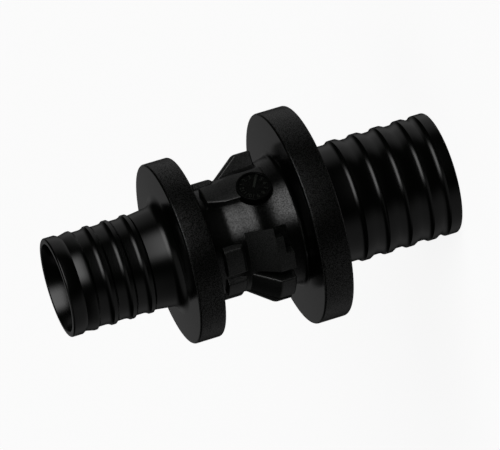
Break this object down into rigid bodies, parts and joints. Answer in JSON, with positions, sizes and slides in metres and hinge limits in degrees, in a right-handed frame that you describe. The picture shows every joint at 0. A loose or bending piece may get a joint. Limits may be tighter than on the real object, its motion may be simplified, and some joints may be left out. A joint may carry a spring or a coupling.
{
  "type": "reducing pipe coupling",
  "caption": "Moulded plastic reducing coupling for ribbed-spigot plastic pipe, with a barbed spigot and a round collar at each end and a lugged waist between them.",
  "frame": {"origin": "centre of the end face of the large spigot, which is the face it stands on", "axes": "+Z runs along the bore towards the small spigot; the bare windows of the waist face -Y and +Y"},
  "size_m": [0.0368, 0.0368, 0.0687],
  "materials": {
    "body": "satin, with finely textured collar rims"
  },
  "bodies": {
    "root": {"fitting_body": "body"}
  },
  "joints": []
}
